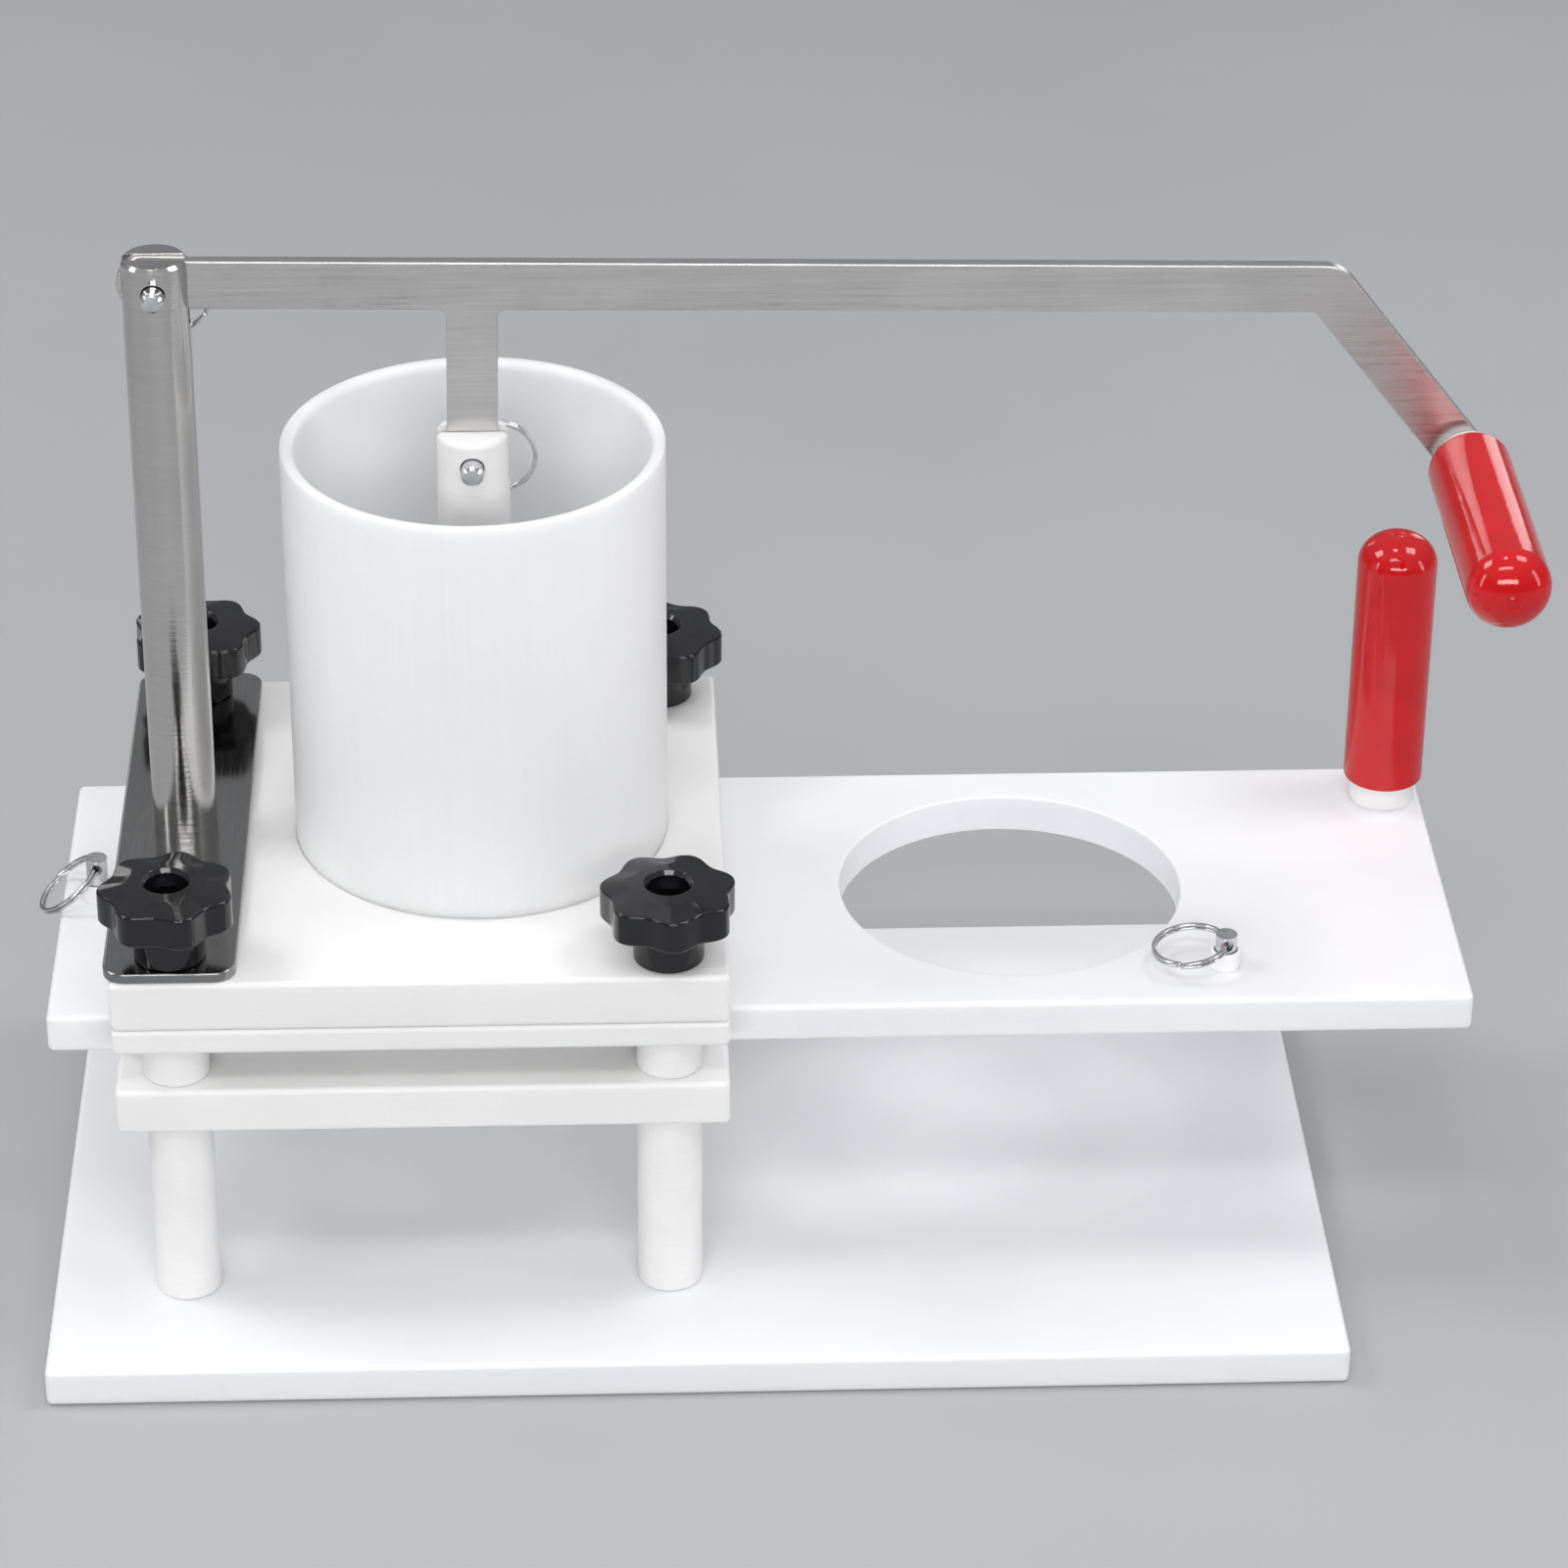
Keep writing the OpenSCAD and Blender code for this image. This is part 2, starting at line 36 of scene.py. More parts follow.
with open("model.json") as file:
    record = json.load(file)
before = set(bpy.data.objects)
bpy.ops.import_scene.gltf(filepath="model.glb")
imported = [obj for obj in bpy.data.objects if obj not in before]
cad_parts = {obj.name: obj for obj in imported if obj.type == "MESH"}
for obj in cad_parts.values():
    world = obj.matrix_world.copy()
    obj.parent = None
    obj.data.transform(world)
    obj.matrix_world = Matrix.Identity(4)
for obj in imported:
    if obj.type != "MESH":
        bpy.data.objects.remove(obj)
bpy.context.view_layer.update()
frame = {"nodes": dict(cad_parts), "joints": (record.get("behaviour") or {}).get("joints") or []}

MM = 0.001
CORNERS = ["front_left", "front_right", "rear_left", "rear_right"]
JOINTS = {joint["name"]: joint for joint in frame["joints"]}
# Points closer than WELD are merged. HOLD is how far beyond a rounded corner a point is held,
# so that smooth shading ends there.
WELD = 0.002 * MM
HOLD = 0.3 * MM


# ---- Camera -------------------------------------------------------------------------------

CAMERA_AT = (-0.0396, -1.7417, 1.1935)
CAMERA_LENS = 123.2
CAMERA_DOWN = math.radians(30.36)
CAMERA_RIGHTWARDS = math.radians(2.465)
CAMERA_ROLL = math.radians(0.445)


def make_camera():
    """Camera that looks down on the press from the operator's side."""
    sway, dip = CAMERA_RIGHTWARDS, CAMERA_DOWN
    ahead = np.array([math.sin(sway) * math.cos(dip), math.cos(sway) * math.cos(dip), -math.sin(dip)])
    right = np.array([math.cos(sway), -math.sin(sway), 0.0])
    up = np.cross(right, ahead)
    rolled_right = right * math.cos(CAMERA_ROLL) + up * math.sin(CAMERA_ROLL)
    rolled_up = up * math.cos(CAMERA_ROLL) - right * math.sin(CAMERA_ROLL)
    matrix = np.eye(4)
    matrix[:3, 0], matrix[:3, 1], matrix[:3, 2] = rolled_right, rolled_up, -ahead
    matrix[:3, 3] = CAMERA_AT
    camera = bpy.data.objects.new("camera", bpy.data.cameras.new("camera"))
    bpy.context.scene.collection.objects.link(camera)
    camera.matrix_world = matrix.T.tolist()
    camera.data.lens = CAMERA_LENS
    bpy.context.scene.camera = camera


# ---- Points and meshes --------------------------------------------------------------------

def span(node):
    """Lowest and highest corner of a CAD node, as arrays."""
    low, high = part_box(node)
    return np.array(low), np.array(high)


def joint_point(name):
    """Point that a joint turns about, at rest."""
    return np.array(JOINTS[name]["pos_m"])


def unit(vectors):
    """Vectors of length 1 in the same directions."""
    return vectors / np.linalg.norm(vectors, axis=-1, keepdims=True)


def eased(corners, radii, steps=6, hold=HOLD, closed=True):
    """Path whose corners are rounded. Each corner gives way to an arc of its own radius, tangent
    to both sides, with a point held a little before and after it. An open path keeps its ends."""
    corners = np.asarray(corners, float)
    radii = np.broadcast_to(np.asarray(radii, float), len(corners))[:, None]
    back = unit(np.roll(corners, 1, axis=0) - corners)
    ahead = unit(np.roll(corners, -1, axis=0) - corners)
    opening = np.arccos(np.clip((back * ahead).sum(axis=1), -1, 1))[:, None]
    start = corners + back * radii / np.tan(opening / 2)
    end = corners + ahead * radii / np.tan(opening / 2)
    centre = corners + unit(back + ahead) * radii / np.sin(opening / 2)
    turn = math.pi - opening
    room = np.linalg.norm(np.roll(start, -1, axis=0) - end, axis=1, keepdims=True)
    hold_after = np.minimum(hold, room / 3)
    hold_before = np.roll(hold_after, 1, axis=0)
    share = np.linspace(0, 1, steps + 1)[None, :]
    from_start = (np.sin((1 - share) * turn) / np.sin(turn))[..., None] * (start - centre)[:, None]
    from_end = (np.sin(share * turn) / np.sin(turn))[..., None] * (end - centre)[:, None]
    arcs = centre[:, None] + from_start + from_end
    held = np.concatenate([(start + back * hold_before)[:, None], arcs,
                           (end + ahead * hold_after)[:, None]], axis=1)
    if closed:
        path = held.reshape(-1, 2)
    else:
        path = np.concatenate([corners[:1], held[1:-1].reshape(-1, 2), corners[-1:]])
    step = np.linalg.norm(path - np.roll(path, 1, axis=0), axis=1)
    return path[step > WELD]


def circle(centre, radius, points=96):
    """Points evenly round a circle, against the clock."""
    turn = np.linspace(0, 2 * math.pi, points, endpoint=False)
    return np.stack([centre[0] + radius * np.cos(turn), centre[1] + radius * np.sin(turn)], axis=1)


def rectangle(low, high, corner, steps=6):
    """Outline of a rectangle with round corners, against the clock."""
    corners = [(low[0], low[1]), (high[0], low[1]), (high[0], high[1]), (low[0], high[1])]
    return eased(corners, corner, steps)


def inward(outline):
    """Direction into the material at each point of an outline that keeps it on its left: the sum
    of both sides' left normals, stretched so that a shift moves both sides by the same amount."""
    side = unit(np.roll(outline, -1, axis=0) - outline)
    left = np.stack([-side[:, 1], side[:, 0]], axis=1)
    before = np.roll(left, 1, axis=0)
    return (left + before) / (1 + (left * before).sum(axis=1))[:, None]


def quads(rows, columns, wrap_rows, wrap_columns, first=0):
    """Corner numbers of the faces of a grid of points."""
    i = np.arange(rows if wrap_rows else rows - 1)[:, None]
    j = np.arange(columns if wrap_columns else columns - 1)[None, :]
    over, beyond = (i + 1) % rows, (j + 1) % columns
    corners = [i * columns + j, over * columns + j, over * columns + beyond, i * columns + beyond]
    return first + np.stack(corners, axis=-1).reshape(-1, 4)


def upright(points, origin):
    """Points of a shape that stands along +Z, moved to its origin."""
    return points + np.asarray(origin)


def towards_operator(points, origin):
    """Points of a shape whose own +Z becomes -Y, and whose +Y becomes +Z."""
    return np.stack([points[:, 0], -points[:, 2], points[:, 1]], axis=1) + np.asarray(origin)


def make_object(name, points, faces, fill_between=None):
    """Mesh object from points and faces, with its doubles merged and its faces turned outwards.
    Where fill_between gives a low and a high level, the open rings at those levels are filled
    flat, round any holes, and every other open ring is closed by one face."""
    mesh = bpy.data.meshes.new(name)
    mesh.from_pydata(points.tolist(), [], faces.tolist())
    bm = bmesh.new()
    bm.from_mesh(mesh)
    bmesh.ops.remove_doubles(bm, verts=bm.verts, dist=WELD)
    bmesh.ops.dissolve_degenerate(bm, dist=WELD, edges=bm.edges)
    for level in fill_between or []:
        ring = [edge for edge in bm.edges if edge.is_boundary and abs(edge.verts[0].co.z - level) < WELD]
        bmesh.ops.triangle_fill(bm, use_beauty=True, edges=ring)
    bmesh.ops.holes_fill(bm, edges=[edge for edge in bm.edges if edge.is_boundary], sides=0)
    bmesh.ops.recalc_face_normals(bm, faces=bm.faces)
    bm.to_mesh(mesh)
    bm.free()
    smooth = np.ones(len(mesh.polygons), bool)
    if fill_between:
        normals = np.zeros(len(mesh.polygons) * 3)
        mesh.polygons.foreach_get("normal", normals)
        smooth = np.abs(normals.reshape(-1, 3)[:, 2]) < 0.9999
    mesh.polygons.foreach_set("use_smooth", smooth)
    made = bpy.data.objects.new(name, mesh)
    bpy.context.scene.collection.objects.link(made)
    return made


def move_points(made, place, origin):
    """Puts a mesh in its place in the row frame."""
    points = np.zeros(len(made.data.vertices) * 3)
    made.data.vertices.foreach_get("co", points)
    made.data.vertices.foreach_set("co", place(points.reshape(-1, 3), origin).ravel())
    made.data.update()
    return made


def turned(name, profile, origin, place=upright, closed=False, turns=96, swell=None):
    """Round piece: a point of the profile at radius r and height h lies at r cos a, r sin a, h
    for every angle a of a full turn. An open profile starts and ends on the axis. A swell gives
    how far out the point moves at each angle and radius."""
    angle = np.linspace(0, 2 * math.pi, turns, endpoint=False)[:, None]
    radius, height = profile[:, 0][None, :], profile[:, 1][None, :]
    if swell:
        radius = radius + swell(angle, radius)
    grid = np.stack(np.broadcast_arrays(radius * np.cos(angle), radius * np.sin(angle), height), axis=-1)
    faces = quads(turns, len(profile), True, closed)
    return move_points(make_object(name, grid.reshape(-1, 3), faces), place, origin)


def edge_section(low, high, ease):
    """Section of a flat piece's edge, as how far each point is drawn in and how high it lies: a
    quarter circle, the upright wall, and a quarter circle."""
    angle = np.linspace(0, math.pi / 2, 6)
    drawn_in = np.concatenate([ease * (1 - np.sin(angle)), [0, 0], ease * (1 - np.cos(angle))])
    height = np.concatenate([low + ease * (1 - np.cos(angle)), [low + ease + HOLD, high - ease - HOLD],
                             high - ease * (1 - np.sin(angle))])
    return drawn_in, height


def board(name, outlines, low, high, place=upright, origin=(0, 0, 0), pockets=()):
    """Flat piece with rounded edges. The edge section is carried along each outline, drawn into
    the material by its own amount, and flat caps fill the outer outline round its holes. Each
    outline comes with its ease. A pocket is a circle's outline with a depth, cut from below."""
    all_points, all_faces, first = [], [], 0
    sections = [(outline, *edge_section(low, high, ease)) for outline, ease in outlines]
    sections += [(outline, np.zeros(2), np.array([low, low + depth])) for outline, depth in pockets]
    for outline, drawn_in, height in sections:
        flat = outline[:, None] + drawn_in[None, :, None] * inward(outline)[:, None]
        levels = np.broadcast_to(height[None, :, None], flat.shape[:2] + (1,))
        grid = np.concatenate([flat, levels], axis=-1)
        all_points.append(grid.reshape(-1, 3))
        all_faces.append(quads(len(outline), len(height), True, False, first))
        first += len(all_points[-1])
    made = make_object(name, np.concatenate(all_points), np.concatenate(all_faces), (low, high))
    return move_points(made, place, origin)


def dress(made, body, slot, material, *nodes):
    """Gives a piece its material and body, and hides the CAD nodes it stands for. The slot is not used."""
    made.data.materials.clear()
    made.data.materials.append(material)
    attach(made, body)
    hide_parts(*nodes)


def paint(material, *nodes):
    """Gives CAD nodes that keep their own shape a better material."""
    for node in nodes:
        frame["nodes"][node].data.materials.clear()
        frame["nodes"][node].data.materials.append(material)


# ---- Shader building ----------------------------------------------------------------------

# Places of the colour sockets on the node that mixes two colours
FIRST_COLOUR = 6
SECOND_COLOUR = 7
COLOUR_RESULT = 2


def add(tree, kind, inputs=None, **settings):
    """Adds a shader node. An input that is another node's socket is linked, and any other value
    is set."""
    made = tree.nodes.new(kind)
    for key, value in settings.items():
        setattr(made, key, value)
    for key, value in (inputs or {}).items():
        if isinstance(value, bpy.types.NodeSocket):
            tree.links.new(value, made.inputs[key])
        else:
            made.inputs[key].default_value = value
    return made


def calc(tree, operation, *values):
    """Result of an operation on one or two values, each a number or a socket."""
    return add(tree, "ShaderNodeMath", dict(enumerate(values)), operation=operation).outputs[0]


def noise(tree, place, scale, **inputs):
    """Noise at a place, about 0 to 1."""
    return add(tree, "ShaderNodeTexNoise", {"Vector": place, "Scale": scale, **inputs}).outputs["Fac"]


def spread(tree, value, start, stop, low=0.0, high=1.0):
    """Value that goes from low to high while the given one goes from start to stop."""
    made = add(tree, "ShaderNodeMapRange", {"Value": value, "From Min": start, "From Max": stop,
                                            "To Min": low, "To Max": high})
    return made.outputs["Result"]


def blend_values(tree, share, low, high):
    """Value that goes from low to high with share."""
    return spread(tree, share, 0.0, 1.0, low, high)


def add_values(tree, first, second):
    """Sum of two values."""
    return calc(tree, "ADD", first, second)


def scaled(tree, value, by):
    """Value multiplied by a number or by another value."""
    return calc(tree, "MULTIPLY", value, by)


def drawn_out(tree, place, stretch):
    """Coordinates multiplied by a stretch. A pattern grows long where the stretch is small."""
    return add(tree, "ShaderNodeVectorMath", {0: place, 1: stretch}, operation="MULTIPLY").outputs[0]


def new_group(name, inputs, outputs):
    """Empty node group with named inputs, each a kind and a starting value, and outputs."""
    tree = bpy.data.node_groups.new(name, "ShaderNodeTree")
    for label, (kind, value) in inputs.items():
        socket = tree.interface.new_socket(label, in_out="INPUT", socket_type="NodeSocket" + kind)
        socket.default_value = value
    for label, kind in outputs.items():
        tree.interface.new_socket(label, in_out="OUTPUT", socket_type="NodeSocket" + kind)
    return tree, tree.nodes.new("NodeGroupInput").outputs, tree.nodes.new("NodeGroupOutput").inputs


def blotches_group():
    """Soft uneven patches: noise at one scale, spread between a low and a high value."""
    inputs = {"Vector": ("Vector", (0, 0, 0)), "Scale": ("Float", 20.0),
              "Low": ("Float", 0.0), "High": ("Float", 1.0)}
    tree, given, result = new_group("blotches", inputs, {"Value": "Float"})
    cloud = noise(tree, given["Vector"], given["Scale"], Detail=4.0, Roughness=0.55)
    tree.links.new(spread(tree, cloud, 0.34, 0.66, given["Low"], given["High"]), result["Value"])
    return tree


def streaks_group():
    """Fine grain drawn out along one direction: noise on stretched coordinates, in a coarse and a
    fine layer, from 0 to 1."""
    inputs = {"Vector": ("Vector", (0, 0, 0)), "Stretch": ("Vector", (1, 1, 1)), "Scale": ("Float", 400.0)}
    tree, given, result = new_group("streaks", inputs, {"Value": "Float"})
    drawn = drawn_out(tree, given["Vector"], given["Stretch"])
    coarse = noise(tree, drawn, given["Scale"], Detail=3.0)
    fine = noise(tree, drawn, scaled(tree, given["Scale"], 3.1), Detail=2.0)
    tree.links.new(spread(tree, add_values(tree, coarse, fine), 0.7, 1.3), result["Value"])
    return tree


def nicks_group():
    """Sparse hairline scratches: the ridges of noise on stretched coordinates, kept only where a
    patchy mask lets them through."""
    inputs = {"Vector": ("Vector", (0, 0, 0)), "Stretch": ("Vector", (1, 1, 1)), "Scale": ("Float", 60.0),
              "Amount": ("Float", 0.5)}
    tree, given, result = new_group("nicks", inputs, {"Mask": "Float"})
    drawn = drawn_out(tree, given["Vector"], given["Stretch"])
    waves = noise(tree, drawn, given["Scale"], Detail=1.0, Distortion=0.4)
    height = calc(tree, "ABSOLUTE", calc(tree, "SUBTRACT", waves, 0.5))
    line = spread(tree, height, 0.012, 0.0)
    patch = noise(tree, given["Vector"], scaled(tree, given["Scale"], 0.6))
    allowed = spread(tree, patch, 0.52, 0.62, 0.0, given["Amount"])
    tree.links.new(scaled(tree, line, allowed), result["Mask"])
    return tree


def soft_edge_group():
    """Softened edges: a normal rounded over the radius, and a mask that is 1 where it departs
    from the flat face."""
    tree, given, result = new_group("soft_edge", {"Radius": ("Float", 0.0004)},
                                    {"Normal": "Vector", "Edge": "Float"})
    round_normal = add(tree, "ShaderNodeBevel", {"Radius": given["Radius"]}, samples=6)
    flat = add(tree, "ShaderNodeNewGeometry")
    same = add(tree, "ShaderNodeVectorMath", {0: round_normal.outputs[0], 1: flat.outputs["Normal"]},
               operation="DOT_PRODUCT")
    tree.links.new(round_normal.outputs[0], result["Normal"])
    tree.links.new(spread(tree, same.outputs["Value"], 0.995, 0.85), result["Edge"])
    return tree


# Colour of the steel's edges: partly wear from rubbing, partly a painted highlight along each edge.
RUBBED_AND_HIGHLIT_STEEL = (0.80, 0.795, 0.79, 1)
BLOTCHES = blotches_group()
STREAKS = streaks_group()
NICKS = nicks_group()
SOFT_EDGE = soft_edge_group()


def use(tree, group, inputs):
    """Places a shared group in a material, with its own values."""
    return add(tree, "ShaderNodeGroup", inputs, node_tree=group).outputs


def new_material(name, **sockets):
    """Material with its plain values set on the shader's own sockets, and its object coordinates."""
    material = bpy.data.materials.new(name)
    material.use_nodes = True
    tree = material.node_tree
    shader = tree.nodes["Principled BSDF"]
    for key, value in sockets.items():
        shader.inputs[key.replace("_", " ")].default_value = value
    return material, tree, shader.inputs, add(tree, "ShaderNodeTexCoord").outputs["Object"]


def mixed_colours(tree, share, first, second):
    """Colour that goes from the first to the second with share."""
    mixed = add(tree, "ShaderNodeMix", {"Factor": share, FIRST_COLOUR: first, SECOND_COLOUR: second},
                data_type="RGBA")
    return mixed.outputs[COLOUR_RESULT]


def tint(tree, share, dark, light):
    """Colour that goes from dark to light with share."""
    return mixed_colours(tree, share, (*dark, 1), (*light, 1))


def bump(tree, height, distance, normal=None):
    """Normal of a surface raised by height times distance."""
    made = add(tree, "ShaderNodeBump", {"Height": height, "Distance": distance, "Strength": 1.0})
    if normal is not None:
        tree.links.new(normal, made.inputs["Normal"])
    return made.outputs[0]


# ---- Materials ----------------------------------------------------------------------------

def board_material(name, dark, light):
    """White polyethylene board: slightly cloudy colour, a satin skin with hairline scratches on
    its faces, and sawn edges that are duller and ribbed."""
    material, tree, shader, place = new_material(name, Specular_IOR_Level=0.45, Subsurface_Weight=0.35,
                                                 Subsurface_Scale=0.006)
    shader["Subsurface Radius"].default_value = (1, 1, 1)
    cloud = use(tree, BLOTCHES, {"Vector": place, "Scale": 9.0})["Value"]
    tree.links.new(tint(tree, cloud, dark, light), shader["Base Color"])
    skin = use(tree, BLOTCHES, {"Vector": place, "Scale": 140.0, "Low": 0.34, "High": 0.46})["Value"]
    nick = use(tree, NICKS, {"Vector": place, "Scale": 55.0, "Amount": 0.22})["Mask"]
    normal = add(tree, "ShaderNodeNewGeometry").outputs["True Normal"]
    facing = add(tree, "ShaderNodeSeparateXYZ", {"Vector": normal}).outputs["Z"]
    sawn = spread(tree, calc(tree, "ABSOLUTE", facing), 0.5, 0.1)
    gloss = add_values(tree, add_values(tree, skin, scaled(tree, nick, 0.4)), scaled(tree, sawn, 0.12))
    tree.links.new(gloss, shader["Roughness"])
    ribs = use(tree, STREAKS, {"Vector": place, "Stretch": (0.05, 0.05, 1.0), "Scale": 900.0})["Value"]
    grain = use(tree, BLOTCHES, {"Vector": place, "Scale": 420.0})["Value"]
    cut = add_values(tree, scaled(tree, nick, -1.0), scaled(tree, ribs, sawn))
    relief = add_values(tree, scaled(tree, grain, 0.35), cut)
    tree.links.new(bump(tree, relief, 0.05 * MM), shader["Normal"])
    return material


def turned_white_material(name, dark, light, depth):
    """White plastic turned on a lathe: faint rings along its axis under a dull skin. Light soaks
    in by the depth."""
    material, tree, shader, place = new_material(name, Specular_IOR_Level=0.4,
                                                 Subsurface_Weight=0.2, Subsurface_Scale=depth)
    shader["Subsurface Radius"].default_value = (1, 1, 1)
    rings = use(tree, STREAKS, {"Vector": place, "Stretch": (0.03, 0.03, 1.0), "Scale": 700.0})["Value"]
    cloud = use(tree, BLOTCHES, {"Vector": place, "Scale": 60.0})["Value"]
    mixed = add_values(tree, scaled(tree, rings, 0.5), scaled(tree, cloud, 0.5))
    tree.links.new(tint(tree, mixed, dark, light), shader["Base Color"])
    tree.links.new(blend_values(tree, mixed, 0.42, 0.6), shader["Roughness"])
    edge = use(tree, SOFT_EDGE, {"Radius": 0.6 * MM})
    tree.links.new(bump(tree, rings, 0.025 * MM, edge["Normal"]), shader["Normal"])
    return material


def frosted_material():
    """Extruded tube: milky, with light that soaks into the wall and faint lines along its length."""
    material, tree, shader, place = new_material("frosted_tube", Specular_IOR_Level=0.4,
                                                 Subsurface_Weight=0.9, Subsurface_Scale=0.014)
    shader["Subsurface Radius"].default_value = (1, 1, 1)
    lines = use(tree, STREAKS, {"Vector": place, "Stretch": (1.0, 1.0, 0.02), "Scale": 260.0})["Value"]
    cloud = use(tree, BLOTCHES, {"Vector": place, "Scale": 26.0})["Value"]
    mixed = add_values(tree, scaled(tree, lines, 0.4), scaled(tree, cloud, 0.6))
    tree.links.new(tint(tree, mixed, (0.86, 0.865, 0.875), (0.90, 0.905, 0.915)), shader["Base Color"])
    tree.links.new(blend_values(tree, mixed, 0.42, 0.54), shader["Roughness"])
    tree.links.new(bump(tree, lines, 0.01 * MM), shader["Normal"])
    return material


def steel_material(name, stretch, dark, light, roughness, groove, ease, turned_above=None):
    """Brushed stainless steel: grain drawn out along one direction varies colour, gloss and
    relief, hands have left soft smudges, and the edges are painted brighter, partly as wear from
    rubbing and partly as a painted highlight along each edge. The grooves spread the reflections
    across the grain. Above the height turned_above the surface is skimmed smoother, as on a
    turned end. The ease is the radius over which edges are softened."""
    material, tree, shader, place = new_material(name, Metallic=1.0)
    grain = use(tree, STREAKS, {"Vector": place, "Stretch": stretch, "Scale": 900.0})["Value"]
    smudge = use(tree, BLOTCHES, {"Vector": place, "Scale": 14.0})["Value"]
    nick = use(tree, NICKS, {"Vector": place, "Stretch": stretch, "Scale": 160.0, "Amount": 0.35})["Mask"]
    edge = use(tree, SOFT_EDGE, {"Radius": ease})
    share = add_values(tree, scaled(tree, grain, 0.55), scaled(tree, smudge, 0.45))
    # The edge mask paints the edges brighter: partly wear from rubbing, partly a painted highlight.
    rubbed_and_highlit = mixed_colours(tree, edge["Edge"], tint(tree, share, dark, light), RUBBED_AND_HIGHLIT_STEEL)
    tree.links.new(rubbed_and_highlit, shader["Base Color"])
    gloss = add_values(tree, blend_values(tree, share, roughness - 0.05, roughness + 0.07),
                       scaled(tree, nick, 0.15))
    if turned_above is not None:
        height = add(tree, "ShaderNodeSeparateXYZ", {"Vector": place}).outputs["Z"]
        skimmed = spread(tree, height, turned_above - 0.2 * MM, turned_above)
        gloss = add_values(tree, gloss, scaled(tree, skimmed, -0.06))
    tree.links.new(gloss, shader["Roughness"])
    relief = add_values(tree, grain, scaled(tree, nick, -1.2))
    tree.links.new(bump(tree, relief, groove, edge["Normal"]), shader["Normal"])
    return material


def bright_material(name, dark, light, roughness):
    """Polished or plated metal of pins, rings, screws and inserts, with fine handling marks."""
    material, tree, shader, place = new_material(name, Metallic=1.0)
    haze = use(tree, BLOTCHES, {"Vector": place, "Scale": 220.0})["Value"]
    nick = use(tree, NICKS, {"Vector": place, "Scale": 300.0, "Amount": 0.8})["Mask"]
    tree.links.new(tint(tree, haze, dark, light), shader["Base Color"])
    gloss = add_values(tree, blend_values(tree, haze, roughness - 0.04, roughness + 0.08),
                       scaled(tree, nick, 0.2))
    tree.links.new(gloss, shader["Roughness"])
    edge = use(tree, SOFT_EDGE, {"Radius": 0.25 * MM})
    tree.links.new(bump(tree, nick, -0.01 * MM, edge["Normal"]), shader["Normal"])
    return material


def knob_material():
    """Black moulded plastic with a high gloss, a breath of dust haze and hairline scuffs."""
    material, tree, shader, place = new_material("black_knob", Specular_IOR_Level=0.55)
    haze = use(tree, BLOTCHES, {"Vector": place, "Scale": 70.0})["Value"]
    nick = use(tree, NICKS, {"Vector": place, "Scale": 130.0, "Amount": 0.5})["Mask"]
    dust = add_values(tree, scaled(tree, haze, 0.5), nick)
    tree.links.new(tint(tree, dust, (0.004, 0.004, 0.005), (0.010, 0.010, 0.012)), shader["Base Color"])
    gloss = add_values(tree, blend_values(tree, haze, 0.06, 0.12), scaled(tree, nick, 0.2))
    tree.links.new(gloss, shader["Roughness"])
    tree.links.new(bump(tree, haze, 0.015 * MM), shader["Normal"])
    return material


def sleeve_material():
    """Dipped red vinyl: wet gloss over a skin that is very slightly wavy."""
    material, tree, shader, place = new_material("red_sleeve", Specular_IOR_Level=0.5,
                                                 Subsurface_Weight=0.06, Subsurface_Scale=0.002)
    cloud = use(tree, BLOTCHES, {"Vector": place, "Scale": 40.0})["Value"]
    tree.links.new(tint(tree, cloud, (0.51, 0.003, 0.006), (0.58, 0.005, 0.008)), shader["Base Color"])
    nick = use(tree, NICKS, {"Vector": place, "Scale": 90.0, "Amount": 0.4})["Mask"]
    tree.links.new(add_values(tree, blend_values(tree, cloud, 0.07, 0.12), scaled(tree, nick, 0.2)),
                   shader["Roughness"])
    tree.links.new(bump(tree, cloud, 0.06 * MM), shader["Normal"])
    return material


def floor_material():
    """Pale, plain, matt studio floor."""
    material, tree, shader, place = new_material("pale_floor", Specular_IOR_Level=0.2)
    cloud = use(tree, BLOTCHES, {"Vector": place, "Scale": 3.0})["Value"]
    tree.links.new(tint(tree, cloud, (0.415, 0.42, 0.43), (0.43, 0.435, 0.445)), shader["Base Color"])
    tree.links.new(blend_values(tree, cloud, 0.65, 0.75), shader["Roughness"])
    return material


TURNED_BELOW_PIVOT = 27 * MM
COOL_BOARD = board_material("cool_board", (0.83, 0.838, 0.86), (0.875, 0.88, 0.90))
# The block's boards are tinted warmer than the base and slide. This is painted warm shade, so that the
# shaded gap under the block looks warm.
WARM_SHADE_BOARD = board_material("warm_shade_board", (0.83, 0.825, 0.815), (0.875, 0.87, 0.86))
TURNED_WHITE = turned_white_material("turned_white", (0.83, 0.82, 0.815), (0.88, 0.875, 0.87), 3 * MM)
# Lighter white of the bushes; on the piston it is painted light.
BUSH_WHITE_AND_PAINTED_LIGHT = turned_white_material("bush_white_and_painted_light", (0.90, 0.895, 0.89), (0.94, 0.935, 0.93), 0.5 * MM)
FROSTED = frosted_material()
LEVER_STEEL = steel_material("lever_steel", (0.02, 1.0, 1.0), (0.50, 0.49, 0.48), (0.70, 0.69, 0.68),
                             roughness=0.30, groove=0.003 * MM, ease=0.7 * MM)
POST_STEEL = steel_material("post_steel", (0.03, 0.03, 1.0), (0.50, 0.49, 0.475), (0.60, 0.59, 0.575),
                            roughness=0.17, groove=0.02 * MM, ease=0.15 * MM,
                            turned_above=joint_point("lever_lift")[2] - TURNED_BELOW_PIVOT)
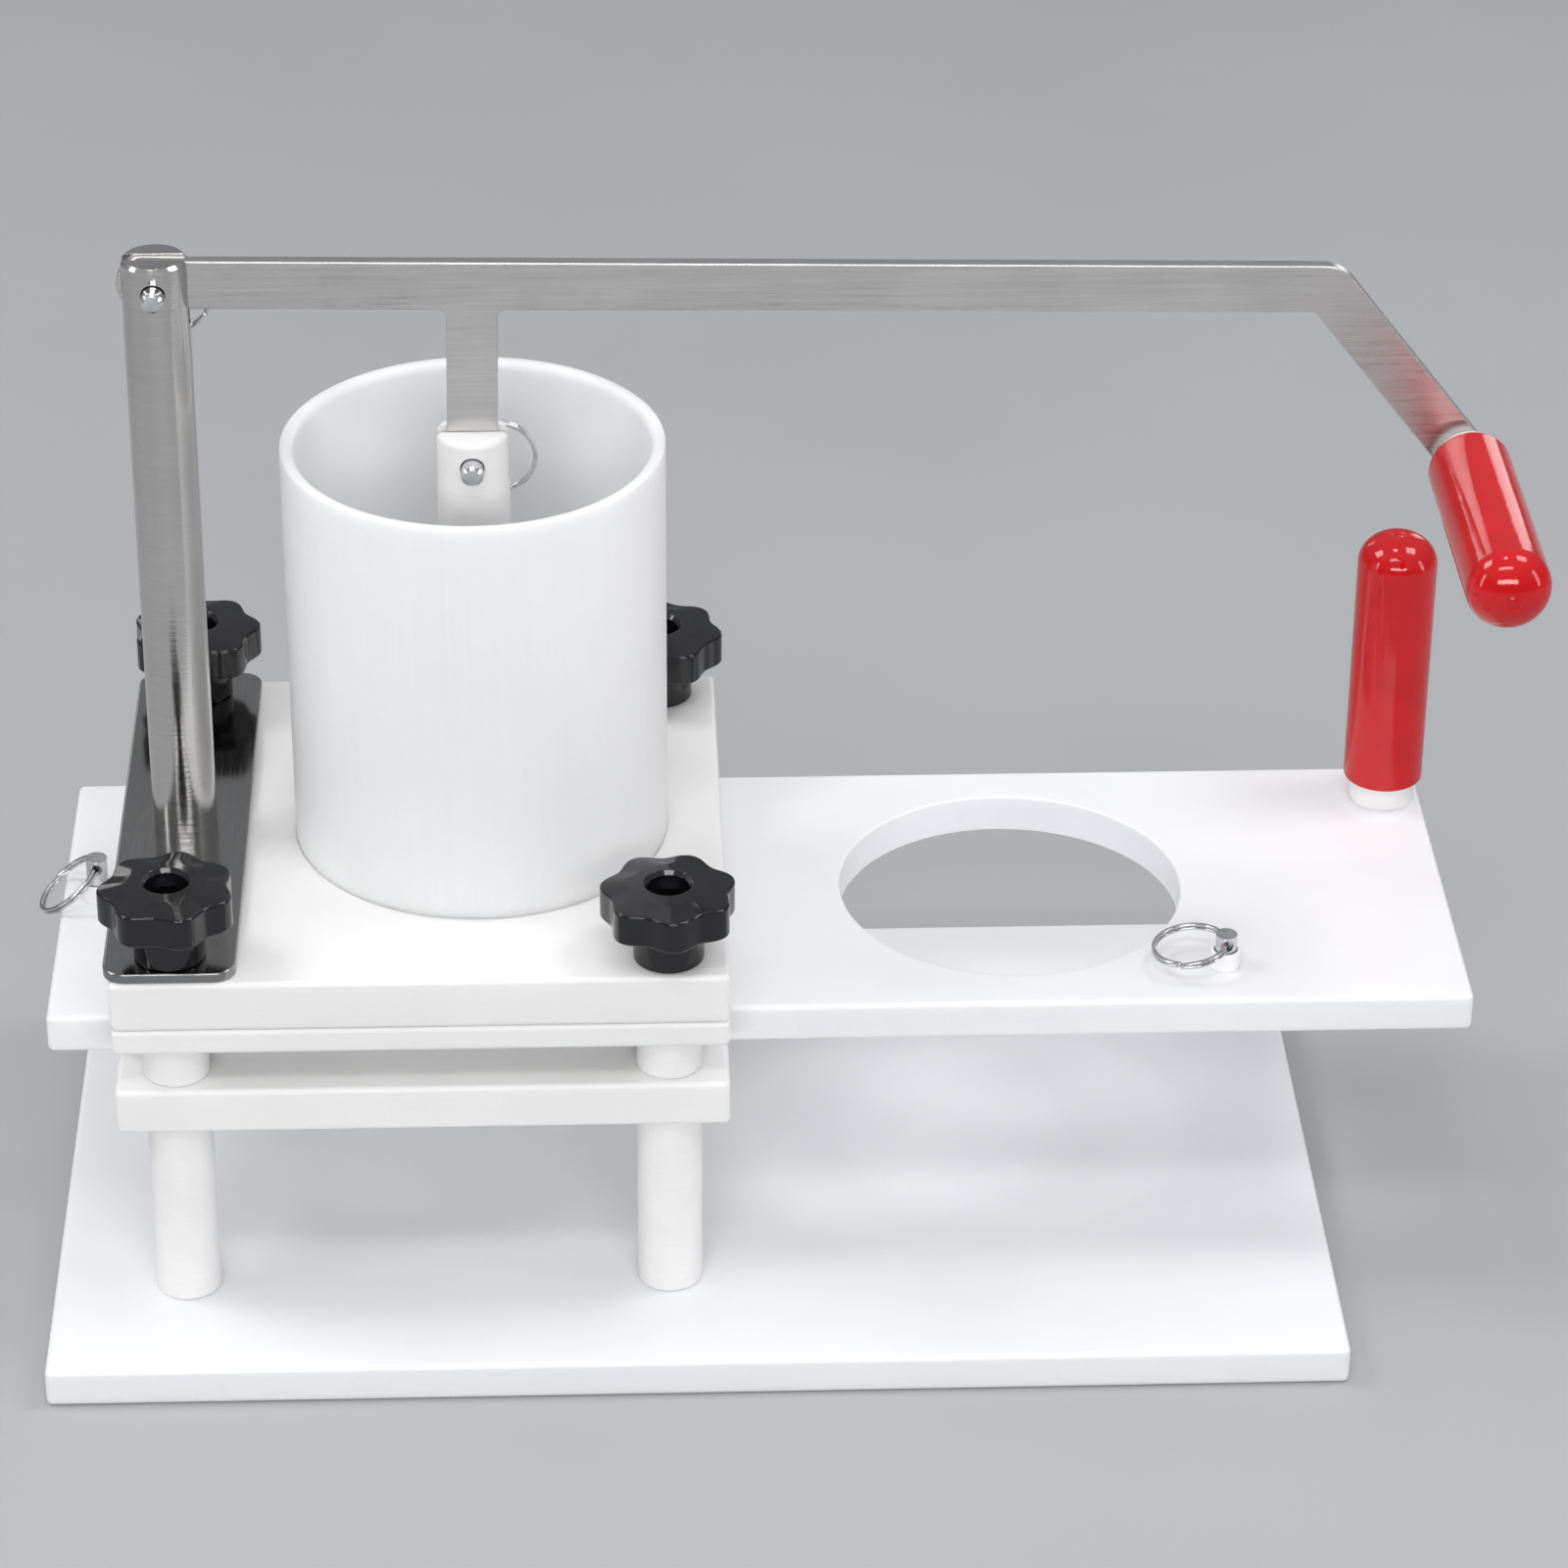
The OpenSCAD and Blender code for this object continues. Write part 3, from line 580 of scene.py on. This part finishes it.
# The foot strip's steel is painted dark, darker than the steel's own colour. This is a painted dark
# reflection, as if the polished strip mirrored dark surroundings.
FOOT_STEEL_PAINTED_DARK = steel_material("foot_steel_painted_dark", (1.0, 0.04, 1.0), (0.26, 0.26, 0.26), (0.33, 0.33, 0.325),
                            roughness=0.13, groove=0.003 * MM, ease=0.9 * MM)
BRIGHT_STEEL = bright_material("bright_steel", (0.55, 0.55, 0.57), (0.72, 0.72, 0.74), 0.14)
PLATED = bright_material("plated_screw", (0.48, 0.48, 0.50), (0.62, 0.62, 0.64), 0.26)
BRASS = bright_material("brass_insert", (0.60, 0.44, 0.20), (0.74, 0.57, 0.28), 0.28)
BLACK_KNOB = knob_material()
RED_SLEEVE = sleeve_material()


# ---- Boards and foot ----------------------------------------------------------------------

BOARD_EASE = 1.9 * MM
BOARD_CORNER = 2.6 * MM
HOLE_EASE = 0.8 * MM
DRILLED_EASE = 0.2 * MM
SEAT_EASE = 0.3 * MM
SEAT_GAP = 0.05 * MM
BARREL_WALL = 5 * MM
MOULD_FROM_RIGHT_STOP = np.array([-76, 60, 0]) * MM
FOOT_CORNER = 8 * MM
FOOT_EASE = 0.5 * MM
FOOT_BOLT_HOLE = 8.6 * MM
BOLT_HEAD_ROOM = 14 * MM
BOLT_HEAD_DEPTH = 9 * MM
SCREW_HEAD_ROOM = 15.6 * MM
SCREW_HEAD_DEPTH = 4.5 * MM


def hole(centre, radius, points=96):
    """Outline of a hole, with the clock, so that the material is on its left."""
    return circle(centre, radius, points)[::-1]


def middle(node):
    """Middle of a CAD node's box."""
    low, high = span(node)
    return (low + high) / 2


def make_plain_board(node, material, holes=(), pockets=()):
    """Board with round corners and edges that fills its CAD node's box."""
    low, high = span(node)
    outlines = [(rectangle(low[:2], high[:2], BOARD_CORNER), BOARD_EASE)] + list(holes)
    made = board(node + "_board", outlines, low[2], high[2], pockets=pockets)
    body = "slide" if node == "slide_plate" else "frame"
    dress(made, body, "white_board", material, node)


def make_boards():
    """The base, the three boards of the block, and the slide with its mould."""
    barrel_low, barrel_high = span("barrel")
    barrel_centre = (barrel_low + barrel_high)[:2] / 2
    barrel_radius = (barrel_high - barrel_low)[0] / 2
    bore = barrel_radius - BARREL_WALL
    heads = [(hole(middle("stud_" + corner), BOLT_HEAD_ROOM / 2, 48), BOLT_HEAD_DEPTH)
             for corner in CORNERS]
    make_plain_board("base_plate", COOL_BOARD, pockets=heads)
    # The support, guide and hopper plates take the warm tint that is painted shade.
    make_plain_board("support_plate", WARM_SHADE_BOARD)
    make_plain_board("guide_plate", WARM_SHADE_BOARD, [(hole(barrel_centre, bore), HOLE_EASE)])
    seat = hole(barrel_centre, barrel_radius + SEAT_GAP)
    make_plain_board("hopper_plate", WARM_SHADE_BOARD, [(seat, SEAT_EASE)])
    mould = (joint_point("stop_ring_right_swing") + MOULD_FROM_RIGHT_STOP)[:2]
    holes = [(hole(mould, bore), HOLE_EASE)]
    for side in ["left", "right"]:
        low, high = span("stop_bush_" + side)
        holes.append((hole((low + high) / 2, (high - low)[0] / 2 + SEAT_GAP, 48), DRILLED_EASE))
    screw = [(hole(middle("slide_handle_screw"), SCREW_HEAD_ROOM / 2, 48), SCREW_HEAD_DEPTH)]
    make_plain_board("slide_plate", COOL_BOARD, holes, screw)


def make_foot():
    """Steel strip under the post, with round corners and a hole for each of its two bolts."""
    low, high = span("post_foot")
    holes = [(hole(middle("stud_" + corner), FOOT_BOLT_HOLE / 2, 32), DRILLED_EASE)
             for corner in ["front_left", "rear_left"]]
    outlines = [(rectangle(low[:2], high[:2], FOOT_CORNER, 10), FOOT_EASE)] + holes
    made = board("foot_strip", outlines, low[2], high[2])
    dress(made, "frame", "polished_strip", FOOT_STEEL_PAINTED_DARK, "post_foot")


# ---- Round white pieces -------------------------------------------------------------------

BARREL_EASES = np.array([0.3, 0.3, 1.1, 3]) * MM
BUSH_WALL = 1.1 * MM
BUSH_EASES = np.array([0.2, 0.2, 0.6, 0.35]) * MM


def white_bar(name, node, ease):
    """Plain round bar that fills its CAD node's box, with both its edges eased."""
    low, high = span(node)
    radius = (high - low)[0] / 2
    corners = [(0, 0), (radius, 0), (radius, high[2] - low[2]), (0, high[2] - low[2])]
    profile = eased(corners, [0, ease, ease, 0], closed=False)
    centre = (low + high) / 2
    made = turned(name, profile, (centre[0], centre[1], low[2]))
    dress(made, "frame", "white_turned", TURNED_WHITE, node)


def make_columns():
    """The columns under the block and the spacers that leave the slide's channel."""
    for corner in CORNERS:
        white_bar("stand_column_" + corner, "column_" + corner, 0.9 * MM)
        white_bar("channel_spacer_" + corner, "spacer_" + corner, 0.7 * MM)


def tube(name, node, wall, eases, turns, **path):
    """Tube that fills its CAD node's box: a rectangle with round corners is carried round the
    axis. Its eases are those of the inner and outer foot and of the outer and inner lip."""
    low, high = span(node)
    outer = (high - low)[0] / 2
    inner = outer - wall
    height = high[2] - low[2]
    corners = [(inner, 0), (outer, 0), (outer, height), (inner, height)]
    profile = eased(corners, eases, **path)
    centre = (low + high) / 2
    return turned(name, profile, (centre[0], centre[1], low[2]), closed=True, turns=turns)


def make_barrel():
    """Tube with a square foot, a slightly eased outer lip and a well rounded inner lip."""
    made = tube("filling_barrel", "barrel", BARREL_WALL, BARREL_EASES, 192, steps=8)
    dress(made, "frame", "frosted_tube", FROSTED, "barrel")


def make_bushes():
    """White bushes of the stop pins, with a rounded mouth."""
    for side in ["left", "right"]:
        made = tube("pin_bush_" + side, "stop_bush_" + side, BUSH_WALL, BUSH_EASES, 64, hold=0.1 * MM)
        dress(made, "slide", "white_turned", BUSH_WHITE_AND_PAINTED_LIGHT, "stop_bush_" + side)


# ---- Lever --------------------------------------------------------------------------------

LEVER_WIDTH = 18.5 * MM
LEVER_RUN = 420 * MM
LEVER_DROOP = math.radians(0.9)
LEVER_EASE = 0.45 * MM
LEVER_TAIL = 13.7 * MM
ELBOW_RADIUS = 15 * MM
INNER_ELBOW = 1.5 * MM
BRANCH_FILLET = 3 * MM
PIN_HOLE = 8.8 * MM
GRIP_HOLE = 8.1 * MM


def make_lever():
    """Flat bar from the pivot to the elbow and down to the grip, with a branch to the plunger.
    Its outline runs against the clock through the corners of the bar, each rounded by its own
    radius: round ends, a wide bend outside the elbow, and small fillets beside the branch."""
    pivot = joint_point("lever_lift")[[0, 2]]
    plunger = joint_point("plunger_link")[[0, 2]]
    grip = middle("lever_grip_sleeve")[[0, 2]]
    half = LEVER_WIDTH / 2
    along = np.array([math.cos(LEVER_DROOP), -math.sin(LEVER_DROOP)])
    across = np.array([math.sin(LEVER_DROOP), math.cos(LEVER_DROOP)])
    elbow = pivot + LEVER_RUN * along
    down = unit(grip - elbow)
    beside = np.array([-down[1], down[0]])
    miter = (across + beside) / (1 + across @ beside)
    branch = (plunger - pivot) @ along
    foot = (plunger - pivot) @ across - half
    tail = pivot - LEVER_TAIL * along
    end = grip + half * down
    corners = [
        tail - half * across,
        pivot + (branch - half) * along - half * across,
        pivot + (branch - half) * along + foot * across,
        pivot + (branch + half) * along + foot * across,
        pivot + (branch + half) * along - half * across,
        elbow - half * miter,
        end - half * beside,
        end + half * beside,
        elbow + half * miter,
        tail + half * across,
    ]
    radii = [half, BRANCH_FILLET, half, half, BRANCH_FILLET, INNER_ELBOW, half, half, ELBOW_RADIUS, half]
    outline = eased(corners, radii, steps=14)
    drilled = [(pivot, PIN_HOLE), (plunger, PIN_HOLE), (grip, GRIP_HOLE)]
    holes = [(hole(centre, bore / 2, 48), DRILLED_EASE) for centre, bore in drilled]
    low, high = span("lever")
    thickness = high[1] - low[1]
    outlines = [(outline, LEVER_EASE)] + holes
    made = board("lever_bar", outlines, 0, thickness, towards_operator, (0, high[1], 0))
    dress(made, "lever", "brushed_steel", LEVER_STEEL, "lever")


# ---- Grips --------------------------------------------------------------------------------

GRIP_WALL = 2.4 * MM
GRIP_DOME = 12.5 * MM
SLEEVE_BACK = 3.2 * MM
GRIP_CORE = 12.9 * MM
GRIP_CORE_EASES = np.array([0, 0.5, 6, 0]) * MM
MARK_RADIUS = 2.3 * MM
MARK_DEPTH = 0.4 * MM
MARK_DENT = 0.5 * MM
MARK_NUB = 0.9 * MM
LIP_HEIGHT = 1.4 * MM
LIP_FLARE = 0.25 * MM
LIP_FROM = 2.2 * MM
SKIN_SPARE = 0.05 * MM


def sleeve_profile(radius, length):
    """Half section of a dipped sleeve from the tip of its dome to the dome's inside. The dome
    is a quarter ellipse with a mould mark at its tip, a nub in a ring-shaped dent, both bell
    curves of the radius, and the open end has a small roll."""
    turn = math.pi / 2 * (1 - np.linspace(0, 1, 60) ** 1.5)
    dome_r = radius * np.cos(turn)
    dome_r[0] = 0
    dome_h = length - GRIP_DOME + GRIP_DOME * np.sin(turn)
    dome_h -= MARK_DEPTH * np.exp(-(((dome_r - MARK_RADIUS) / MARK_DENT) ** 2))
    dome_h += MARK_DEPTH * np.exp(-((dome_r / MARK_NUB) ** 2))
    wall_h = np.linspace(length - GRIP_DOME, LIP_FROM, 14)[1:]
    lip = np.linspace(0, math.pi, 12)
    lip_half = GRIP_WALL / 2 - SKIN_SPARE
    lip_r = radius - lip_half + lip_half * np.cos(lip) + LIP_FLARE * np.sin(lip)
    lip_h = LIP_HEIGHT - LIP_HEIGHT * np.sin(lip)
    inside_r = radius - GRIP_WALL + SKIN_SPARE
    inside_dome = (radius - GRIP_WALL) * np.cos(turn[::-1])
    inside_dome[-1] = 0
    inside_h = length - GRIP_DOME + (GRIP_DOME - GRIP_WALL) * np.sin(turn[::-1])
    across = np.concatenate([dome_r, np.full(len(wall_h), radius), lip_r, [inside_r], inside_dome[1:]])
    up = np.concatenate([dome_h, wall_h, lip_h, [length - GRIP_DOME - 1 * MM], inside_h[1:]])
    return np.stack([across, up], axis=1)


def make_grips():
    """Red sleeves of the slide's upright handle and of the lever's level one."""
    low, high = span("slide_handle_sleeve")
    centre = (low + high) / 2
    profile = sleeve_profile((high - low)[0] / 2, high[2] - low[2])
    made = turned("slide_grip", profile, (centre[0], centre[1], low[2]))
    dress(made, "slide", "red_sleeve", RED_SLEEVE, "slide_handle_sleeve")
    low, high = span("lever_grip_sleeve")
    centre = (low + high) / 2
    start = high[1] - SLEEVE_BACK
    profile = sleeve_profile((high - low)[0] / 2, start - low[1])
    made = turned("lever_grip", profile, (centre[0], start, centre[2]), towards_operator)
    dress(made, "lever", "red_sleeve", RED_SLEEVE, "lever_grip_sleeve")
    low, high = span("lever_grip_core")
    corners = [(0, 0), (GRIP_CORE, 0), (GRIP_CORE, high[1] - low[1]), (0, high[1] - low[1])]
    core = turned("lever_grip_bar", eased(corners, GRIP_CORE_EASES, closed=False),
                  (centre[0], high[1], centre[2]), towards_operator)
    dress(core, "lever", "white_turned", BUSH_WHITE_AND_PAINTED_LIGHT, "lever_grip_core")


# ---- Star knobs ---------------------------------------------------------------------------

KNOB_RADIUS = 23.4 * MM
KNOB_WAVE = 1.6 * MM
KNOB_LOBES = 7
KNOB_HUB = 13 * MM
KNOB_HEAD_FROM = 16 * MM
KNOB_RIM_AT = 28.4 * MM
KNOB_SHOULDER = 14 * MM
KNOB_SHOULDER_DROP = 0.5 * MM
KNOB_SWELL_RUN = 6.4 * MM
KNOB_HOLE = 7.5 * MM
KNOB_CHAMFER = 1.5 * MM
INSERT_HOLE = 7.05 * MM
INSERT_TOP = 18 * MM
KNOB_FIRST_LOBE = math.radians(30)
KNOB_TURN_EACH = math.radians(90)


def knob_profile(height):
    """Closed half section of a star knob: underside of the hub, hub, underside of the head, rim,
    domed top, and a bore that is wider above the insert. A row holds a corner's radius, its
    height and its ease in millimetres."""
    rows = np.array([
        (INSERT_HOLE, 0, 0.2),
        (KNOB_HUB, 0, 1.0),
        (KNOB_HUB, KNOB_HEAD_FROM, 1.2),
        (KNOB_RADIUS, KNOB_HEAD_FROM, 0.9),
        (KNOB_RADIUS, KNOB_RIM_AT, 1.0),
        (KNOB_SHOULDER, height - KNOB_SHOULDER_DROP, 30),
        (KNOB_HOLE + KNOB_CHAMFER, height, 0.35),
        (KNOB_HOLE, height - KNOB_CHAMFER, 0.35),
        (KNOB_HOLE, INSERT_TOP, 0.2),
        (INSERT_HOLE, INSERT_TOP, 0.2),
    ])
    return eased(rows[:, :2], rows[:, 2] * MM)


def knob_lobes(first_lobe):
    """Swell of a star knob. Away from the hub the radius grows and shrinks with the cosine of
    seven times the angle, and the wave comes in by a smooth step."""
    def swell(angle, radius):
        outward = np.clip((radius - KNOB_HUB) / KNOB_SWELL_RUN, 0, 1)
        share = outward * outward * (3 - 2 * outward)
        return share * KNOB_WAVE * np.cos(KNOB_LOBES * (angle - first_lobe))
    return swell


def make_knobs():
    """Four star knobs, each turned a quarter further than the one before."""
    for number, corner in enumerate(CORNERS):
        low, high = span("knob_" + corner)
        bolt = middle("stud_" + corner)
        lobes = knob_lobes(KNOB_FIRST_LOBE + KNOB_TURN_EACH * number)
        made = turned("star_knob_" + corner, knob_profile(high[2] - low[2]), (bolt[0], bolt[1], low[2]),
                      closed=True, turns=252, swell=lobes)
        dress(made, "knob_" + corner, "black_knob", BLACK_KNOB, "knob_" + corner)


# ---- Split rings --------------------------------------------------------------------------

RING_RADIUS = 13.5 * MM
WIRE_WIDTH = 1.6 * MM
WIRE_THICKNESS = 1.1 * MM
WIRE_EASE = 0.4 * MM
RING_PITCH = 1.45 * MM
# Half the angle over which the wire crosses from one coil to the other
CROSSING = 0.5


def split_ring(name, node, body, eye, normal, cut_at):
    """Split ring: a flat wire with soft corners, wound twice round a circle that passes through
    the eye. Its side shift goes from one coil to the other by a smooth step while the wire passes
    its own cut end."""
    centre = middle(node)
    normal = np.asarray(normal, float)
    first = unit(eye - centre)
    second = np.cross(normal, first)
    turn = np.linspace(0, 4 * math.pi, 240)
    share = np.clip((turn - 2 * math.pi) / (2 * CROSSING) + 0.5, 0, 1)
    shift = RING_PITCH * (share * share * (3 - 2 * share) - 0.5)
    angle = turn + math.radians(cut_at)
    outward = np.cos(angle)[:, None] * first + np.sin(angle)[:, None] * second
    half = np.array([WIRE_WIDTH, WIRE_THICKNESS]) / 2
    section = rectangle(-half, half, WIRE_EASE, 3)
    path = centre + RING_RADIUS * outward + shift[:, None] * normal
    grid = path[:, None] + section[None, :, :1] * outward[:, None] + section[None, :, 1:] * normal
    faces = quads(len(turn), len(section), False, True)
    made = make_object(name, grid.reshape(-1, 3), faces)
    dress(made, body, "bright_steel", BRIGHT_STEEL, node)


def make_rings():
    """The two rings that hang behind the level pins and the two on the upright stop pins."""
    level = (0, 1, 0)
    split_ring("pivot_split_ring", "pivot_ring", "pivot_ring", joint_point("pivot_ring_swing"), level, 140)
    split_ring("plunger_split_ring", "plunger_ring", "plunger_ring", joint_point("plunger_ring_swing"),
               level, 200)
    for side, cut_at in [("left", 120), ("right", 250)]:
        node = "stop_ring_" + side
        eye = joint_point(node + "_swing")
        normal = np.cross(unit(eye - middle(node)), level)
        split_ring("stop_split_ring_" + side, node, node, eye, normal, cut_at)


# ---- CAD pieces that keep their shape -----------------------------------------------------

def paint_cad_pieces():
    """The post, rods, pins, balls, screws, bolts and inserts."""
    paint(POST_STEEL, "post")
    paint(TURNED_WHITE, "plunger_rod", "slide_handle_core")
    # The piston takes the lighter white as painted light, for the light that the milky barrel lets in
    # around it.
    paint(BUSH_WHITE_AND_PAINTED_LIGHT, "piston")
    paint(PLATED, "piston_screw", "lever_grip_screw", "slide_handle_screw")
    paint(PLATED, *["stud_" + corner for corner in CORNERS])
    paint(BRASS, *["knob_insert_" + corner for corner in CORNERS])
    paint(BRIGHT_STEEL, "pivot_pin", "plunger_pin", "stop_pin_left", "stop_pin_right", "pivot_pin_ball",
          "plunger_pin_ball", "stop_pin_ball_left", "stop_pin_ball_right")


# ---- Floor and light ----------------------------------------------------------------------

FLOOR_REACH = 12.0
FLOOR_BELOW = 0.1 * MM


def make_floor():
    """Wide plain floor, just under the base plate."""
    sides = np.array([(-1, -1), (1, -1), (1, 1), (-1, 1)]) * FLOOR_REACH
    corners = np.column_stack([sides, np.full(4, -FLOOR_BELOW)])
    floor = make_object("floor", corners, np.array([[0, 1, 2, 3]]))
    floor.data.materials.append(floor_material())


def softbox(name, at, aim, width, height, watts):
    """Rectangular lamp that faces a point."""
    lamp = bpy.data.lights.new(name, "AREA")
    lamp.shape = "RECTANGLE"
    lamp.size, lamp.size_y = width, height
    lamp.energy = watts
    holder = bpy.data.objects.new(name, lamp)
    bpy.context.scene.collection.objects.link(holder)
    away = unit(np.array(at, float) - np.array(aim, float))
    side = unit(np.cross((0, 0, 1), away))
    matrix = np.eye(4)
    matrix[:3, 0], matrix[:3, 1], matrix[:3, 2], matrix[:3, 3] = side, np.cross(away, side), away, at
    holder.matrix_world = matrix.T.tolist()


def make_light():
    """Two softboxes and a small lamp overhead, two boxes in front, tall ones at the sides and
    behind, and a dim sky that is brighter overhead than at the horizon."""
    heart = (0.0, 0.0, 0.2)
    softbox("left_top_box", (-1.5, 0.3, 2.0), heart, 0.8, 0.8, 14)
    softbox("right_top_box", (1.25, 0.1, 2.2), heart, 0.7, 0.8, 12)
    softbox("overhead_lamp", (0.0, 0.05, 2.5), heart, 0.3, 0.3, 3)
    softbox("front_box", (-0.1, -1.2, 2.15), heart, 1.3, 0.3, 9)
    softbox("low_front_box", (0.0, -2.7, 1.3), heart, 2.4, 0.5, 36)
    softbox("left_side_box", (-2.1, -0.8, 0.8), heart, 0.3, 1.2, 6)
    softbox("right_side_box", (2.1, -0.7, 0.8), heart, 0.3, 1.2, 5)
    softbox("rear_left_box", (-0.95, 2.0, 1.0), heart, 0.3, 0.7, 1.2)
    softbox("rear_right_box", (1.25, 2.0, 0.75), heart, 0.4, 0.7, 2)
    world = bpy.data.worlds.new("studio")
    bpy.context.scene.world = world
    world.use_nodes = True
    tree = world.node_tree
    direction = add(tree, "ShaderNodeTexCoord").outputs["Generated"]
    height = add(tree, "ShaderNodeSeparateXYZ", {"Vector": direction}).outputs["Z"]
    rise = add(tree, "ShaderNodeMapRange", {"Value": height, "From Min": 0.0, "From Max": 0.9},
               interpolation_type="SMOOTHSTEP").outputs["Result"]
    sky = tint(tree, rise, (0.18, 0.184, 0.19), (0.52, 0.525, 0.54))
    tree.links.new(sky, tree.nodes["Background"].inputs["Color"])
    tree.nodes["Background"].inputs["Strength"].default_value = 1.0


make_camera()
make_boards()
make_foot()
make_columns()
make_barrel()
make_bushes()
make_lever()
make_grips()
make_knobs()
make_rings()
paint_cad_pieces()
make_floor()
make_light()
bpy.context.scene.view_settings.view_transform = "Standard"
